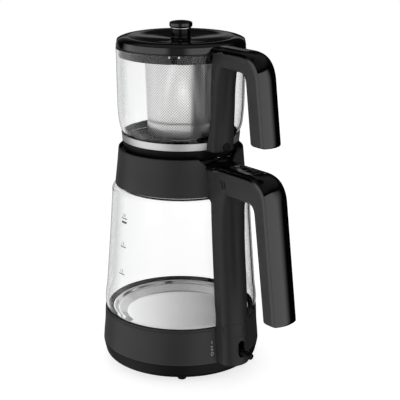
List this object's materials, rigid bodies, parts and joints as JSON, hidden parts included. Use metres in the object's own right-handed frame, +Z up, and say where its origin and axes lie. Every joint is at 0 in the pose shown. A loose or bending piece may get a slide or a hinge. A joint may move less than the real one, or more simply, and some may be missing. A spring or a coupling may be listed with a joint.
{
  "type": "automatic tea maker",
  "caption": "Cordless glass kettle on a power base, with a small glass teapot, infuser basket and lid stacked on its collar.",
  "frame": {"origin": "on the kettle's axis at the height of the table, just under the middle of the power base's underside", "axes": "+Z up along the axis of kettle and teapot, +X towards both handles, -X towards the pouring lips, -Y towards the level marks"},
  "size_m": [0.2502, 0.1682, 0.3643],
  "materials": {
    "satin_black": "satin",
    "matte_grey": "fine matte",
    "gloss_black": "high gloss",
    "clear_glass": "polished",
    "steel": "brushed",
    "brass": "plain",
    "silicone": "matte",
    "circuit_board": "solder mask",
    "light_pipe": "translucent"
  },
  "bodies": {
    "power_base": {"base_tray": "satin_black", "base_bottom_cover": "satin_black", "base_connector": "satin_black", "base_contact_ring": "brass", "base_foot_1": "silicone", "base_foot_2": "silicone", "base_foot_3": "silicone", "base_foot_4": "silicone", "cord_inlet": "silicone"},
    "kettle": {"kettle_base_ring": "matte_grey", "kettle_base_cover": "satin_black", "kettle_connector": "satin_black", "heater_gasket": "silicone", "heater_plate": "steel", "heating_element": "steel", "thermostat": "satin_black", "switch_bracket": "satin_black", "switch_pin": "steel", "kettle_glass": "clear_glass", "collar_seal": "silicone", "collar": "matte_grey", "kettle_handle_inner": "matte_grey", "kettle_handle_outer": "gloss_black", "badge_plate": "matte_grey", "circuit_board": "circuit_board", "wire_loom": "silicone", "column_screw_1": "steel", "column_screw_2": "steel", "indicator_light": "light_pipe"},
    "switch_lever": {"switch_lever": "satin_black"},
    "brew_button": {"brew_button": "gloss_black"},
    "keep_warm_button": {"keep_warm_button": "gloss_black"},
    "kettle_lid": {"kettle_lid": "gloss_black"},
    "teapot": {"teapot_glass": "clear_glass", "steel_band": "steel", "teapot_handle_inner": "matte_grey", "teapot_handle_outer": "gloss_black", "teapot_handle_screw": "steel", "screw_plug": "satin_black"},
    "infuser": {"infuser_ring": "satin_black", "infuser_basket": "steel"},
    "teapot_lid": {"teapot_lid": "gloss_black", "knob_stem": "gloss_black", "knob_ring": "steel", "knob_cap": "gloss_black", "knob_screw": "steel"}
  },
  "joints": [
    {"name": "kettle_lift", "type": "slide", "parent": "power_base", "child": "kettle", "axis": [0, 0, 1], "range_m": [0, 0.06]},
    {"name": "switch_hinge", "type": "hinge", "parent": "kettle", "child": "switch_lever", "pos_m": [0.06545, 0, 0.0368], "axis": [0, -1, 0], "range_deg": [0, 12]},
    {"name": "brew_button_press", "type": "slide", "parent": "kettle", "child": "brew_button", "axis": [0, 0, -1], "range_m": [0, 0.001], "stiffness_N_per_m": 400, "springref_m": -0.0005},
    {"name": "keep_warm_button_press", "type": "slide", "parent": "kettle", "child": "keep_warm_button", "axis": [0, 0, -1], "range_m": [0, 0.001], "stiffness_N_per_m": 400, "springref_m": -0.0005},
    {"name": "kettle_lid_lift", "type": "slide", "parent": "kettle", "child": "kettle_lid", "axis": [0, 0, 1], "range_m": [0, 0.05]},
    {"name": "teapot_lift", "type": "slide", "parent": "kettle_lid", "child": "teapot", "axis": [0, 0, 1], "range_m": [0, 0.08]},
    {"name": "infuser_lift", "type": "slide", "parent": "teapot", "child": "infuser", "axis": [0, 0, 1], "range_m": [0, 0.13]},
    {"name": "teapot_lid_lift", "type": "slide", "parent": "infuser", "child": "teapot_lid", "axis": [0, 0, 1], "range_m": [0, 0.1]}
  ]
}
